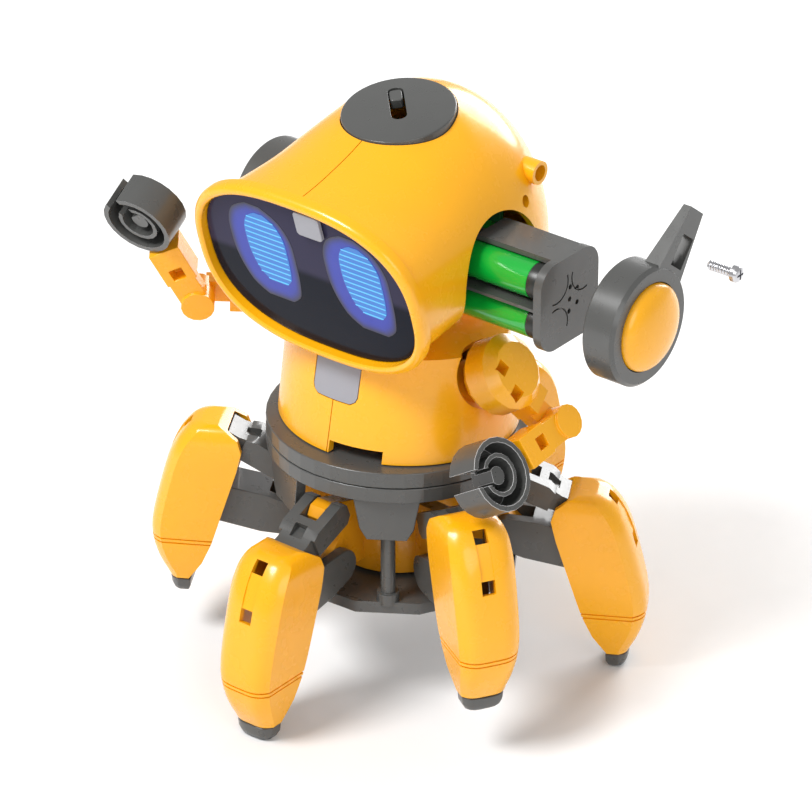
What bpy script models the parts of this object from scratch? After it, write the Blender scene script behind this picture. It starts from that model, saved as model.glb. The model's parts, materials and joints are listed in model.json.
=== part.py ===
"""Hexapod walking robot kit: six crank-driven legs, a turning body, posable arms and a head with a
battery box that slides out of its right side. Built as separate pieces. Lengths below are in
millimetres and are scaled to metres when the meshes are made. Front is -Y, up is +Z."""

import math

import bmesh
import bpy
from mathutils import Matrix, Vector

MM = 0.001
GAP = 0.3
SHIFT = Vector((-14.468, 0.432, 0.0))

# Waist
RING_R = 37.5
RING_TOP = 76.3
RING_SPLIT = 71.4
RING_BOTTOM = 67.0
BIB_AZIMUTH = 33.0
BIB_RADIUS = 35.4
BIB_BOTTOM = 54.0
PLATE_BOTTOM = 29.5
PLATE_TOP = 33.0

# Legs
LEG_AZIMUTHS = {"leg1": -60.0, "leg2": 0.0, "leg3": 60.0, "leg4": 120.0, "leg5": 180.0, "leg6": -120.0}
RAISED = ("leg1", "leg3", "leg5")
UPPER_PIVOT = (34.0, 58.0)
LOWER_PIVOT = (32.0, 41.5)
UPPER_LENGTH = 17.0
LOWER_LENGTH = 15.5
DOWN_ANGLE = -22.0
UP_ANGLE = 28.8
LOWER_SWING = 11.0
SHELL_WALL = 1.6
# height, inner radius, outer radius, half width of the leg shell with the foot on the floor
LEG_SECTIONS = (
    (55.6, 52.0, 56.6, 5.0),
    (54.6, 49.4, 59.8, 7.3),
    (52.0, 45.7, 62.4, 8.6),
    (48.5, 44.6, 64.7, 9.1),
    (42.0, 46.2, 67.3, 9.3),
    (26.0, 51.3, 71.3, 9.1),
    (18.0, 53.8, 71.8, 8.6),
    (11.0, 56.9, 70.0, 7.8),
    (5.0, 61.0, 67.0, 6.6),
)

# Head: section centre (y, z), forward pitch, half width, height up, height down, roundness
HEAD_SECTIONS = (
    (-36.2, 133.8, 16.85, 37.8, 25.6, 25.6, 2.5),
    (-27.0, 132.5, 13.0, 37.2, 28.5, 22.8, 2.4),
    (-17.0, 131.0, 8.0, 36.5, 33.0, 19.3, 2.25),
    (-8.0, 130.0, 4.0, 36.0, 38.0, 17.6, 2.15),
    (0.0, 129.0, 0.0, 35.8, 42.0, 16.6, 2.1),
    (8.0, 128.0, 0.0, 36.0, 45.0, 15.6, 2.0),
    (20.0, 128.0, 0.0, 34.2, 42.7, 15.5, 2.0),
    (30.0, 128.0, 0.0, 29.4, 36.7, 14.6, 2.0),
    (38.0, 128.0, 0.0, 22.1, 27.6, 12.4, 2.0),
    (43.0, 128.0, 0.0, 14.0, 17.5, 9.0, 2.0),
    (45.6, 128.0, 0.0, 5.4, 6.8, 4.0, 2.0),
)
HEAD_WALL = 2.2
HEAD_POINTS = 32
FACE_CENTRE = (-40.2, 132.6)
FACE_PITCH = 16.85
FACE_HALF = (36.0, 26.0)
FACE_ROUNDNESS = 2.58
EAR_AXIS = (1.0, 129.5)
EAR_R = 17.0
EAR_DEPTH = 10.0
EAR_OUT = 74.7
EAR_SEAT = 37.2
DOME_R = 12.4
LEVER_ANGLE = 52.0
SCREW_AXIS = (15.3, 145.4)
SCREW_X = 93.3
OPENING_R = 17.8
BOX_HALF = 13.0
BOX_END = 58.2
CELL_R = 5.15
CELL_LENGTH = 43.0
CAP_R = 16.0
CAP_PITCH = 10.5
CAP_CENTRE = (0.0, 169.4)

# Torso
TORSO_BOTTOM = 76.7
TORSO_TOP = 107.4
TORSO_LOW = (35.2, 32.2)
TORSO_HIGH = (33.6, 26.0)
NECK_R = 18.0

# Arms: shoulder, elbow and claw centres, the way the arm's broad face looks, and the claw's open side
ARMS = {
    "right": ((38.6, -3.0, 101.6), (49.4, 7.9, 84.8), (50.4, -23.5, 82.2), (0.848, 0.0, 0.53), (0.848, 0.0, 0.53)),
    "left": ((-38.6, -3.0, 101.6), (-56.7, -19.6, 102.1), (-63.9, -33.2, 131.1), (0.60, -0.77, -0.21), (0.13, -0.89, -0.43)),
}
# How far each claw's gap is turned from the forearm's line
CLAW_TURN = {"right": -20.0, "left": 20.0}
CLAW_R = 10.4

COLOURS = {
    "yellow": (0.95, 0.60, 0.03, 0.30, 0.0),
    "amber": (0.90, 0.42, 0.02, 0.35, 0.0),
    "charcoal": (0.055, 0.058, 0.062, 0.38, 0.0),
    "grey": (0.36, 0.37, 0.39, 0.45, 0.0),
    "visor": (0.008, 0.010, 0.030, 0.08, 0.0),
    "lens": (0.05, 0.25, 0.90, 0.30, 0.0),
    "cell": (0.02, 0.45, 0.05, 0.25, 0.0),
    "steel": (0.66, 0.66, 0.68, 0.28, 1.0),
    "board": (0.02, 0.16, 0.06, 0.50, 0.0),
}


def clear_scene():
    for obj in list(bpy.data.objects):
        bpy.data.objects.remove(obj, do_unlink=True)


def collection(name, hidden=False):
    made = bpy.data.collections.new(name)
    bpy.context.scene.collection.children.link(made)
    made.hide_render = hidden
    return made


def material(slot):
    found = bpy.data.materials.get(slot)
    if found:
        return found
    made = bpy.data.materials.new(slot)
    made.use_nodes = True
    red, green, blue, roughness, metallic = COLOURS[slot]
    shader = made.node_tree.nodes["Principled BSDF"]
    shader.inputs["Base Color"].default_value = (red, green, blue, 1.0)
    shader.inputs["Roughness"].default_value = roughness
    shader.inputs["Metallic"].default_value = metallic
    made.diffuse_color = (red, green, blue, 1.0)
    return made


def part(name, shape, slot, origin=(0.0, 0.0, 0.0), turn=0.0):
    """A named piece from a shape in millimetres; its own origin sits at `origin`, turned about Z."""
    origin = Vector(origin)
    spin = Matrix.Rotation(math.radians(turn), 4, "Z")
    bmesh.ops.translate(shape, verts=shape.verts, vec=-origin)
    bmesh.ops.scale(shape, verts=shape.verts, vec=(MM, MM, MM))
    bmesh.ops.recalc_face_normals(shape, faces=shape.faces)
    mesh = bpy.data.meshes.new(name)
    shape.to_mesh(mesh)
    shape.free()
    mesh.materials.append(material(slot))
    obj = bpy.data.objects.new(name, mesh)
    obj.matrix_world = Matrix.Translation(SHIFT * MM) @ spin @ Matrix.Translation(origin * MM)
    obj["origin"] = tuple(origin)
    return obj


def keep(obj):
    PARTS.objects.link(obj)
    return obj


def combine(obj, shape, operation):
    """A Boolean on `obj` with a shape given in the same frame as its own."""
    tool = part(obj.name + "_tool", shape, "grey", obj["origin"])
    tool.matrix_world = obj.matrix_world.copy()
    tool.display_type = "WIRE"
    CUTTERS.objects.link(tool)
    step = obj.modifiers.new(operation.lower(), "BOOLEAN")
    step.operation = operation
    step.solver = "EXACT"
    step.object = tool
    return obj


def cut(obj, *shapes):
    for shape in shapes:
        combine(obj, shape, "DIFFERENCE")
    return obj


def fuse(obj, *shapes):
    for shape in shapes:
        combine(obj, shape, "UNION")
    return obj


def box(low, high):
    shape = bmesh.new()
    bmesh.ops.create_cube(shape, size=1.0)
    size = [high[i] - low[i] for i in range(3)]
    centre = [(high[i] + low[i]) / 2 for i in range(3)]
    bmesh.ops.scale(shape, verts=shape.verts, vec=size)
    bmesh.ops.translate(shape, verts=shape.verts, vec=centre)
    return shape


def rod(start, end, radius, sides=16, end_radius=None):
    """A round bar from one point to another."""
    start = Vector(start)
    run = Vector(end) - start
    shape = bmesh.new()
    bmesh.ops.create_cone(
        shape,
        cap_ends=True,
        segments=sides,
        radius1=radius,
        radius2=radius if end_radius is None else end_radius,
        depth=run.length,
    )
    turn = Vector((0.0, 0.0, 1.0)).rotation_difference(run).to_matrix().to_4x4()
    shape.transform(Matrix.Translation(start + run / 2) @ turn)
    return shape


def ball(centre, radius, sides=24):
    shape = bmesh.new()
    bmesh.ops.create_uvsphere(shape, u_segments=sides, v_segments=sides // 2, radius=radius)
    bmesh.ops.translate(shape, verts=shape.verts, vec=centre)
    return shape


def loft(rings):
    """A closed skin through rings of equal point count, capped at both ends."""
    shape = bmesh.new()
    rows = [[shape.verts.new(point) for point in ring] for ring in rings]
    count = len(rows[0])
    for row, following in zip(rows, rows[1:]):
        for i in range(count):
            j = (i + 1) % count
            shape.faces.new((row[i], row[j], following[j], following[i]))
    shape.faces.new(rows[0])
    shape.faces.new(list(reversed(rows[-1])))
    return shape


def band(rings):
    """A closed skin through rings whose last ring joins back to the first."""
    shape = bmesh.new()
    rows = [[shape.verts.new(point) for point in ring] for ring in rings]
    count = len(rows[0])
    for row, following in zip(rows, rows[1:] + rows[:1]):
        for i in range(count):
            j = (i + 1) % count
            shape.faces.new((row[i], row[j], following[j], following[i]))
    return shape


def extrude(outline, low, high, frame=None):
    """A flat outline in the frame's XY given thickness from low to high along the frame's Z."""
    shape = bmesh.new()
    face = shape.faces.new([shape.verts.new((a, b, low)) for a, b in outline])
    grown = bmesh.ops.extrude_face_region(shape, geom=[face])
    moved = [item for item in grown["geom"] if isinstance(item, bmesh.types.BMVert)]
    bmesh.ops.translate(shape, verts=moved, vec=(0.0, 0.0, high - low))
    if frame is not None:
        shape.transform(frame)
    return shape


def turned(profile, sides=48, frame=None):
    """A turned solid from (radius, height) points going round a closed section or axis to axis."""
    angles = [2 * math.pi * i / sides for i in range(sides)]
    hollow = min(radius for radius, _ in profile) > 0.0
    rings = [[(r * math.cos(a), r * math.sin(a), z) for a in angles] for r, z in profile if r > 0.0]
    shape = band(rings) if hollow else loft(rings)
    if frame is not None:
        shape.transform(frame)
    return shape


def frame(centre, across, along):
    """Local X is `across`, local Z is `along`."""
    z_axis = Vector(along).normalized()
    x_axis = (Vector(across) - z_axis * Vector(across).dot(z_axis)).normalized()
    y_axis = z_axis.cross(x_axis)
    turn = Matrix((x_axis, y_axis, z_axis)).transposed().to_4x4()
    return Matrix.Translation(Vector(centre)) @ turn


SIDE_ON = Matrix(((1, 0, 0, 0), (0, 0, 1, 0), (0, 1, 0, 0), (0, 0, 0, 1)))


def circle_points(radius, sides, centre=(0.0, 0.0), start=0.0, sweep=360.0):
    step = sweep / sides
    count = sides if sweep == 360.0 else sides + 1
    angles = [math.radians(start + step * i) for i in range(count)]
    return [(centre[0] + radius * math.cos(a), centre[1] + radius * math.sin(a)) for a in angles]


def rounded(half_x, half_y, corner, steps=5):
    points = []
    for index, (sx, sy) in enumerate(((1, 1), (-1, 1), (-1, -1), (1, -1))):
        centre = (sx * (half_x - corner), sy * (half_y - corner))
        points += circle_points(corner, steps, centre, index * 90.0, 90.0)
    return points


def oval(half_x, up, down, power, sides=HEAD_POINTS):
    """Superellipse points with separate heights above and below its centre."""
    points = []
    for i in range(sides):
        angle = 2 * math.pi * i / sides
        c, s = math.cos(angle), math.sin(angle)
        height = up if s >= 0 else down
        across = half_x * math.copysign(abs(c) ** (2 / power), c)
        points.append((across, height * math.copysign(abs(s) ** (2 / power), s)))
    return points


# ---------------------------------------------------------------- waist and drive


def chassis_ring():
    plate = [(6.1, RING_BOTTOM), (RING_R, RING_BOTTOM), (RING_R, RING_SPLIT), (34.0, RING_SPLIT)]
    plate += [(33.0, RING_BOTTOM + 2.0), (6.1, RING_BOTTOM + 2.0)]
    ring = keep(part("chassis_ring", turned(plate, 44), "charcoal"))
    bib = [(-9.5, RING_BOTTOM + 1.0), (9.5, RING_BOTTOM + 1.0), (7.6, 57.5), (5.6, BIB_BOTTOM)]
    bib += [(-5.6, BIB_BOTTOM), (-7.6, 57.5)]
    for k in range(6):
        azimuth = math.radians(BIB_AZIMUTH + 60.0 * k)
        out = Vector((math.sin(azimuth), -math.cos(azimuth), 0.0))
        side = Vector((math.cos(azimuth), math.sin(azimuth), 0.0))
        place = Matrix((side, Vector((0, 0, 1)), out)).transposed().to_4x4()
        place = Matrix.Translation(out * BIB_RADIUS) @ place
        fuse(ring, extrude(bib, -3.0, 0.0, place))
    return ring


def base_plate():
    plate = keep(part("base_plate", extrude(circle_points(35.0, 12, start=18.0), PLATE_BOTTOM, PLATE_TOP), "charcoal"))
    for k in range(6):
        azimuth = math.radians(BIB_AZIMUTH + 60.0 * k)
        foot = Vector((math.sin(azimuth), -math.cos(azimuth), 0.0)) * 31.5
        low = foot + Vector((0, 0, PLATE_TOP - 1.0))
        fuse(plate, rod(low, foot + Vector((0, 0, BIB_BOTTOM - GAP)), 2.1, 12))
        fuse(plate, rod(low, foot + Vector((0, 0, PLATE_TOP + 2.5)), 3.2, 12))
    return plate


def gearbox_housing():
    bowl = [(7.0, 55.6), (17.0, 55.6), (17.0, 36.0), (14.0, 36.0), (14.0, 34.0), (19.0, 34.0), (19.6, 45.0)]
    bowl += [(19.0, 57.8), (7.0, 57.8)]
    housing = keep(part("gearbox_housing", turned(bowl, 36), "amber"))
    fin = [(18.2, 37.5), (32.0, 37.9), (35.2, 40.0), (35.4, 43.0), (33.2, 45.2), (30.0, 49.0)]
    fin += [(30.6, 54.6), (36.4, 55.0), (37.7, 58.0), (36.2, 60.8), (33.0, 61.6), (18.2, 56.5)]
    for azimuth in LEG_AZIMUTHS.values():
        spin = Matrix.Rotation(math.radians(azimuth - 90.0), 4, "Z")
        blade = extrude(fin, -2.6, 2.6, spin @ SIDE_ON)
        fuse(housing, blade)
        for r, z in (UPPER_PIVOT, LOWER_PIVOT):
            hole = rod((r, -4.0, z), (r, 4.0, z), 1.92)
            hole.transform(spin)
            cut(housing, hole)
    return housing


def motor():
    can = [(10.0 * math.cos(a), 7.5 * math.sin(a)) for a in (2 * math.pi * i / 24 for i in range(24))]
    body = keep(part("motor", extrude(can, 36.6, 52.0), "steel"))
    fuse(body, rod((0, 0, 51.0), (0, 0, 54.6), 1.0, 12))
    return body


def lift_cam():
    lobes = []
    for i in range(36):
        angle = 2 * math.pi * i / 36
        reach = 13.0 + 1.6 * math.cos(3 * angle)
        lobes.append((reach * math.cos(angle), reach * math.sin(angle)))
    cam = keep(part("lift_cam", extrude(lobes, 59.0, 62.0), "grey"))
    fuse(cam, rod((0, 0, 55.4), (0, 0, 60.0), 4.0))
    return cam


# ---------------------------------------------------------------- legs


def upper_link(leg):
    raised = leg in RAISED
    angle = UP_ANGLE if raised else DOWN_ANGLE
    r, z = UPPER_PIVOT
    place = Matrix.Translation((r, 0, z)) @ Matrix.Rotation(math.radians(-angle), 4, "Y")
    block = [(-3.8, -2.0), (-3.8, 2.0), (-1.8, 3.7), (9.0, 3.7), (11.4, 2.6), (11.4, -3.5), (-1.8, -3.7)]
    tongue = [(8.0, 3.3), (13.5, 2.1), (17.0, 2.2), (19.2, 0.9), (19.2, -0.9), (17.0, -2.3), (12.0, -3.3), (8.0, -3.4)]
    bar = extrude(block, -6.4, 6.4, place @ SIDE_ON)
    link = keep(part(leg + "_upper_link", bar, "charcoal", (r, 0, z), LEG_AZIMUTHS[leg] - 90.0))
    slot = box((-6.0, -2.95, -6.0), (5.6, 2.95, 6.0))
    slot.transform(place)
    pin = rod((0, -3.4, 0), (0, 3.4, 0), 1.8)
    pin.transform(place)
    trunnion = rod((UPPER_LENGTH, -8.2, 0), (UPPER_LENGTH, 8.2, 0), 2.0)
    trunnion.transform(place)
    window = box((8.2, -2.1, 1.6), (12.2, 2.1, 6.0))
    window.transform(place)
    cut(link, slot)
    fuse(link, extrude(tongue, -5.2, 5.2, place @ SIDE_ON), pin, trunnion)
    return cut(link, window)


def lower_link(leg):
    raised = leg in RAISED
    angle = LOWER_SWING if raised else -LOWER_SWING
    r, z = LOWER_PIVOT
    place = Matrix.Translation((r, 0, z)) @ Matrix.Rotation(math.radians(-angle), 4, "Y")
    outline = circle_points(5.2, 8, (0.0, 0.0), 100.0, 160.0)
    outline += [(6.0, -6.0), (19.5, -5.8), (20.5, 0.0), (19.5, 5.8), (6.0, 6.0)]
    bar = extrude(outline, -6.2, 6.2, place @ SIDE_ON)
    link = keep(part(leg + "_lower_link", bar, "charcoal", (r, 0, z), LEG_AZIMUTHS[leg] - 90.0))
    slot = box((-7.0, -2.95, -8.0), (5.8, 2.95, 8.0))
    slot.transform(place)
    pin = rod((0, -3.4, 0), (0, 3.4, 0), 1.8)
    pin.transform(place)
    cut(link, slot)
    return fuse(link, pin)


def leg_ring(height, inner, outer, half):
    crown = min(3.4, 0.42 * (outer - inner))
    right = [(inner, half), (outer - crown, half), (outer - 0.42 * crown, 0.84 * half)]
    right += [(outer - 0.1 * crown, 0.58 * half), (outer, 0.24 * half)]
    left = [(r, -t) for r, t in reversed(right)]
    return [(r, t, height) for r, t in right + left]


def leg_offset(leg):
    down, up = math.radians(DOWN_ANGLE), math.radians(UP_ANGLE)
    rise = UPPER_LENGTH * (math.sin(up) - math.sin(down))
    pull = UPPER_LENGTH * (math.cos(up) - math.cos(down))
    return Vector((pull, 0.0, rise)) if leg in RAISED else Vector((0.0, 0.0, 0.0))


def knee():
    angle = math.radians(DOWN_ANGLE)
    return UPPER_PIVOT[0] + UPPER_LENGTH * math.cos(angle), UPPER_PIVOT[1] + UPPER_LENGTH * math.sin(angle)


def leg_shell(leg):
    shift = leg_offset(leg)
    move = Matrix.Translation(shift)
    skin = loft([leg_ring(*section) for section in LEG_SECTIONS])
    skin.transform(move)
    r, z = knee()
    origin = Vector((r, 0.0, z)) + shift
    shell = keep(part(leg + "_shell", skin, "yellow", origin, LEG_AZIMUTHS[leg] - 90.0))
    hollow = [(54.3, 40.0, 57.4, 5.8), (53.2, 40.0, 59.8, 6.4)]
    for height, inner, outer, half in LEG_SECTIONS[2:-1]:
        hollow.append((height, inner - 4.0, outer - 1.8, half - SHELL_WALL))
    hollow.append((3.0, 58.0, 65.0, 4.9))
    cavity = loft([leg_ring(*section) for section in hollow])
    cavity.transform(move)
    socket = rod((r, -8.4, z), (r, 8.4, z), 2.12)
    socket.transform(move)
    cut(shell, cavity, socket)
    for height, lean in ((53.0, 38.0), (40.0, 16.0)):
        window = box((-6.0, -2.0, -2.0), (6.0, 2.0, 2.0))
        window.transform(Matrix.Rotation(math.radians(-lean), 4, "Y"))
        radius = 61.6 if height > 50.0 else 67.6
        window.transform(move @ Matrix.Translation((radius, 0.0, height)))
        cut(shell, window)
    return shell


def foot_tip(leg):
    shift = leg_offset(leg)
    sections = [(12.0, 58.2, 67.0, 5.5), (4.6, 61.2, 64.7, 4.5)]
    sections += [(4.5, 60.6, 67.0, 6.2), (2.2, 60.7, 66.8, 6.0), (0.6, 61.3, 66.2, 5.2), (0.0, 62.0, 65.4, 4.4)]
    tip = loft([leg_ring(*section) for section in sections])
    tip.transform(Matrix.Translation(shift))
    return keep(part(leg + "_foot_tip", tip, "charcoal", Vector((63.5, 0, 5)) + shift, LEG_AZIMUTHS[leg] - 90.0))


# ---------------------------------------------------------------- torso


def torso_skin(grow, low_z, high_z):
    """The torso's tapering outer form, made larger or smaller all round by `grow`."""
    rings = []
    for height, (half_x, half_y) in ((low_z, TORSO_LOW), (high_z, TORSO_HIGH)):
        ring = circle_points(1.0, 28, start=360.0 / 56)
        rings.append([((half_x + grow) * x, (half_y + grow) * y, height) for x, y in ring])
    return loft(rings)


def chest_prism(grow):
    side, low = 7.6 + grow, 92.0 - grow
    outline = [(-side, 104.5 + grow), (-side, 94.6), (-5.6, low), (5.6, low), (side, 94.6), (side, 104.5 + grow)]
    return extrude(outline, -40.0, -20.0, SIDE_ON)


def shoulder_axis(side):
    return Vector((0.848 if side == "right" else -0.848, 0.0, 0.53))


def torso_half(name, side):
    half = keep(part(name, torso_skin(0.0, TORSO_BOTTOM, TORSO_TOP), "yellow"))
    cut(half, torso_skin(-2.0, TORSO_BOTTOM - 1.0, TORSO_TOP - 2.0))
    fuse(half, rod((0, 0, TORSO_TOP - 1.0), (0, 0, 114.5), NECK_R, 40))
    cut(half, rod((0, 0, TORSO_TOP - 5.0), (0, 0, 116.0), NECK_R - 2.0, 40))
    shoulder = Vector(ARMS[side][0])
    axis = shoulder_axis(side)
    seat = shoulder - axis * 12.2
    cut(half, ball(shoulder, 12.6, 20), chest_prism(GAP))
    fuse(half, rod(seat, seat - axis * 3.0, 7.0, 20))
    cut(half, rod(seat + axis * 2.0, seat - axis * 4.0, 3.08))
    if side == "right":
        cut(half, box((0.6, -40.0, TORSO_BOTTOM - 1.0), (16.5, -20.0, TORSO_BOTTOM + 3.6)))
    away = -1.0 if side == "right" else 1.0
    low_x, high_x = sorted((away * 60.0, -away * GAP / 2))
    return cut(half, box((low_x, -60.0, 60.0), (high_x, 60.0, 130.0)))


def chest_tab():
    tab = keep(part("chest_tab", torso_skin(0.3, TORSO_BOTTOM, TORSO_TOP - 2.2), "grey"))
    cut(tab, torso_skin(-1.8, TORSO_BOTTOM - 1.0, TORSO_TOP + 1.0))
    return combine(tab, chest_prism(0.0), "INTERSECT")


def waist_turntable():
    disc = [(5.0, RING_TOP), (RING_R, RING_TOP), (RING_R, RING_SPLIT + GAP), (33.6, RING_SPLIT + GAP)]
    disc += [(33.6, 73.6), (6.0, 73.6), (6.0, 64.0), (5.0, 64.0)]
    return keep(part("waist_turntable", turned(disc, 44), "charcoal"))


# ---------------------------------------------------------------- head


def head_ring(section, grow):
    y, z, pitch, half, up, down, power = section
    lean = math.radians(pitch)
    ring = []
    for across, height in oval(half + grow, up + grow, down + grow, power):
        ring.append((across, y - height * math.sin(lean), z + height * math.cos(lean)))
    return ring


def head_bowl():
    """The whole head wall as one skin: inside from the back to the rim, then outside from the rim to the back."""
    inside = [head_ring(section, -HEAD_WALL) for section in HEAD_SECTIONS[:-1]]
    outside = [head_ring(section, 0.0) for section in HEAD_SECTIONS]
    return loft(inside[::-1] + outside)


def cap_frame():
    lean = math.radians(CAP_PITCH)
    return frame((0.0, *CAP_CENTRE), (1.0, 0.0, 0.0), (0.0, -math.sin(lean), math.cos(lean)))


def head_half(name, side):
    away = -1.0 if side == "right" else 1.0
    half = keep(part(name, head_bowl(), "yellow"))
    low_x, high_x = sorted((away * 60.0, -away * GAP / 2))
    cut(half, box((low_x, -70.0, 90.0), (high_x, 70.0, 190.0)))
    lid_seat = rod((0, 0, -3.2), (0, 0, 30.0), CAP_R + GAP, 48)
    lid_seat.transform(cap_frame())
    cut(half, lid_seat, rod((0, 0, 100.0), (0, 0, 118.0), NECK_R + 0.4, 40))
    y, z = EAR_AXIS
    if side == "right":
        cut(half, rod((20.0, y, z), (50.0, y, z), OPENING_R, 40))
        fuse(half, rod((26.0, 22.6, 151.0), (31.6, 22.6, 151.0), 3.4))
        cut(half, rod((20.0, 22.6, 151.0), (40.0, 22.6, 151.0), 2.3, 16))
        cut(half, rod((20.0, *SCREW_AXIS), (40.0, *SCREW_AXIS), 1.65, 12))
    return half


def face_ring(depth, grow, power=FACE_ROUNDNESS):
    lean = math.radians(FACE_PITCH)
    centre = Vector((0.0, FACE_CENTRE[0] + depth * math.cos(lean), FACE_CENTRE[1] + depth * math.sin(lean)))
    ring = []
    for across, height in oval(FACE_HALF[0] + grow, FACE_HALF[1] + grow, FACE_HALF[1] + grow, power):
        ring.append(tuple(centre + Vector((across, -height * math.sin(lean), height * math.cos(lean)))))
    return ring


def face_bezel():
    section = [(0.4, 0.0), (-0.2, 0.9), (0.3, 2.0), (1.7, 2.8), (3.9, 2.6), (3.9, 0.0)]
    return keep(part("face_bezel", band([face_ring(depth, grow) for depth, grow in section]), "yellow"))


def face_visor():
    rings = [face_ring(depth, grow) for depth, grow in ((2.4, -1.4), (2.6, -GAP), (3.9, -GAP))]
    return keep(part("face_visor", loft(rings), "visor"))


def face_frame():
    lean = math.radians(FACE_PITCH)
    return frame((0.0, *FACE_CENTRE), (1.0, 0.0, 0.0), (0.0, -math.cos(lean), -math.sin(lean)))


def eye_lens(name, side):
    centre = 16.5 * side
    outline = [(centre + x, 3.4 + y) for x, y in oval(7.1, 12.0, 12.0, 2.8, 20)]
    lens = extrude(outline, -6.2, -4.4)
    lens.transform(face_frame())
    return keep(part(name, lens, "lens"))


def sensor_tab():
    tab = extrude(rounded(4.4, 4.0, 1.2, 3), -2.1, -0.9)
    tab.transform(face_frame() @ Matrix.Translation((4.8, 20.6, 0.0)))
    return keep(part("sensor_tab", tab, "grey"))


def top_cap():
    profile = [(CAP_R, -2.6), (CAP_R, -0.5), (CAP_R - 0.6, 0.0), (9.0, 0.5), (0.02, 0.7)]
    rings = [[(r * x, r * y, h) for x, y in circle_points(1.0, 48)] for r, h in profile]
    shape = loft(rings)
    shape.transform(cap_frame())
    cap = keep(part("top_cap", shape, "charcoal"))
    slot = extrude(rounded(8.0, 2.2, 2.1, 4), -5.0, 3.0)
    slot.transform(switch_frame())
    return cut(cap, slot)


def switch_frame():
    return cap_frame() @ Matrix.Translation((-1.6, 1.6, 0.0)) @ Matrix.Rotation(math.radians(-47.0), 4, "Z")


def power_switch():
    knob = extrude(rounded(2.6, 1.8, 0.8, 2), -2.6, 0.3)
    knob.transform(switch_frame() @ Matrix.Translation((-4.6, 0.0, 0.0)))
    centre = switch_frame() @ Vector((-4.6, 0.0, 0.0))
    return keep(part("power_switch", knob, "charcoal", centre))


def circuit_board():
    board = keep(part("circuit_board", box((-17.0, 24.0, 118.0), (17.0, 25.6, 146.0)), "board"))
    return fuse(board, box((-6.0, 21.4, 126.0), (6.0, 24.4, 138.0)))


# ---------------------------------------------------------------- ears


def sideways(x, side):
    """Local Z runs outward along X from the ear's axis, local X points back."""
    return frame((x * side, *EAR_AXIS), (0.0, 1.0, 0.0), (float(side), 0.0, 0.0))


def ear_ring(name, x, side):
    inner = DOME_R + GAP
    cup = [(inner, 0.0), (EAR_R - 0.5, 0.0), (EAR_R, 0.5), (EAR_R, EAR_DEPTH - 1.0), (EAR_R - 1.0, EAR_DEPTH)]
    cup += [(inner, EAR_DEPTH)]
    ring = keep(part(name, turned(cup, 36, sideways(x, side)), "charcoal", (x * side, *EAR_AXIS)))
    if side < 0:
        return ring
    lean = math.radians(LEVER_ANGLE)
    along = Vector((0.0, math.cos(lean), math.sin(lean)))
    blade = frame((x * side, *EAR_AXIS), along, (float(side), 0.0, 0.0))
    out = 1.0 if blade.to_3x3().col[1].dot(Vector((0, -1, 1))) > 0 else -1.0
    low = [(14.0, -6.6 * out, 4.4), (34.0, -4.0 * out, 7.2), (34.0, 3.2 * out, 7.2), (14.0, 6.6 * out, 4.4)]
    high = [(a, b, EAR_DEPTH - 0.3) for a, b, _ in low]
    lever = loft([low, high])
    lever.transform(blade)
    pocket = box((17.6, -2.9, 5.6), (26.6, 2.9, 12.0))
    pocket.transform(blade @ Matrix.Translation((0.0, -1.4 * out, 0.0)))
    fuse(ring, lever)
    cut(ring, pocket)
    y, z = SCREW_AXIS
    hole = rod(((x - 2.0) * side, y, z), ((x + 14.0) * side, y, z), 1.75, 16)
    return cut(ring, hole)


def ear_dome(name, x, side):
    profile = [(DOME_R, 6.0), (DOME_R, 10.0), (DOME_R - 0.9, 11.6), (DOME_R * 0.7, 13.2), (DOME_R * 0.36, 14.1), (0.02, 14.4)]
    rings = [[(r * a, r * b, h) for a, b in circle_points(1.0, 28)] for r, h in profile]
    dome = loft(rings)
    dome.transform(sideways(x, side))
    return keep(part(name, dome, "yellow", (x * side, *EAR_AXIS)))


def ear_screw():
    y, z = SCREW_AXIS
    start = SCREW_X
    screw = keep(part("ear_screw", rod((start, y, z), (start + 8.6, y, z), 1.5, 16), "steel", (start, y, z)))
    fuse(screw, rod((start + 8.2, y, z), (start + 10.4, y, z), 2.4, 20, 2.0))
    cross = box((start + 9.4, y - 1.5, z - 0.3), (start + 11.0, y + 1.5, z + 0.3))
    slot = box((start + 9.4, y - 0.3, z - 1.5), (start + 11.0, y + 0.3, z + 1.5))
    return cut(screw, cross, slot)


# ---------------------------------------------------------------- battery box


def cell_centres():
    y, z = EAR_AXIS
    return [(y - 6.0, z + 6.0), (y - 6.0, z - 6.0), (y + 6.0, z + 6.0), (y + 6.0, z - 6.0)]


def battery_box():
    y, z = EAR_AXIS
    end = extrude(rounded(BOX_HALF, BOX_HALF, 6.5, 6), -2.6, 0.0)
    end.transform(sideways(BOX_END, 1))
    tray = keep(part("battery_box", end, "charcoal", (BOX_END, y, z)))
    back = extrude(rounded(BOX_HALF, BOX_HALF, 6.5, 6), -2.0, 0.0)
    back.transform(sideways(BOX_END - 46.6, 1))
    walls = box((BOX_END - 47.6, y - 12.0, z - 0.45), (BOX_END - 2.0, y + 12.0, z + 0.45))
    spine = box((BOX_END - 47.6, y - 0.45, z - 12.0), (BOX_END - 2.0, y + 0.45, z + 12.0))
    fuse(tray, back, walls, spine)
    roof = box((BOX_END - 28.0, y - 5.0, z + 11.4), (BOX_END - 2.0, y + 8.0, z + 12.9))
    return fuse(tray, roof)


def battery_cells():
    for index, (y, z) in enumerate(cell_centres()):
        start = BOX_END - 46.2
        cell = rod((start, y, z), (start + CELL_LENGTH, y, z), CELL_R, 24)
        obj = keep(part("battery_cell_%d" % (index + 1), cell, "cell", (start, y, z)))


# ---------------------------------------------------------------- arms


def arm_points(side):
    shoulder, elbow, claw, normal = ARMS[side][:4]
    return Vector(shoulder), Vector(elbow), Vector(claw), Vector(normal).normalized()


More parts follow.
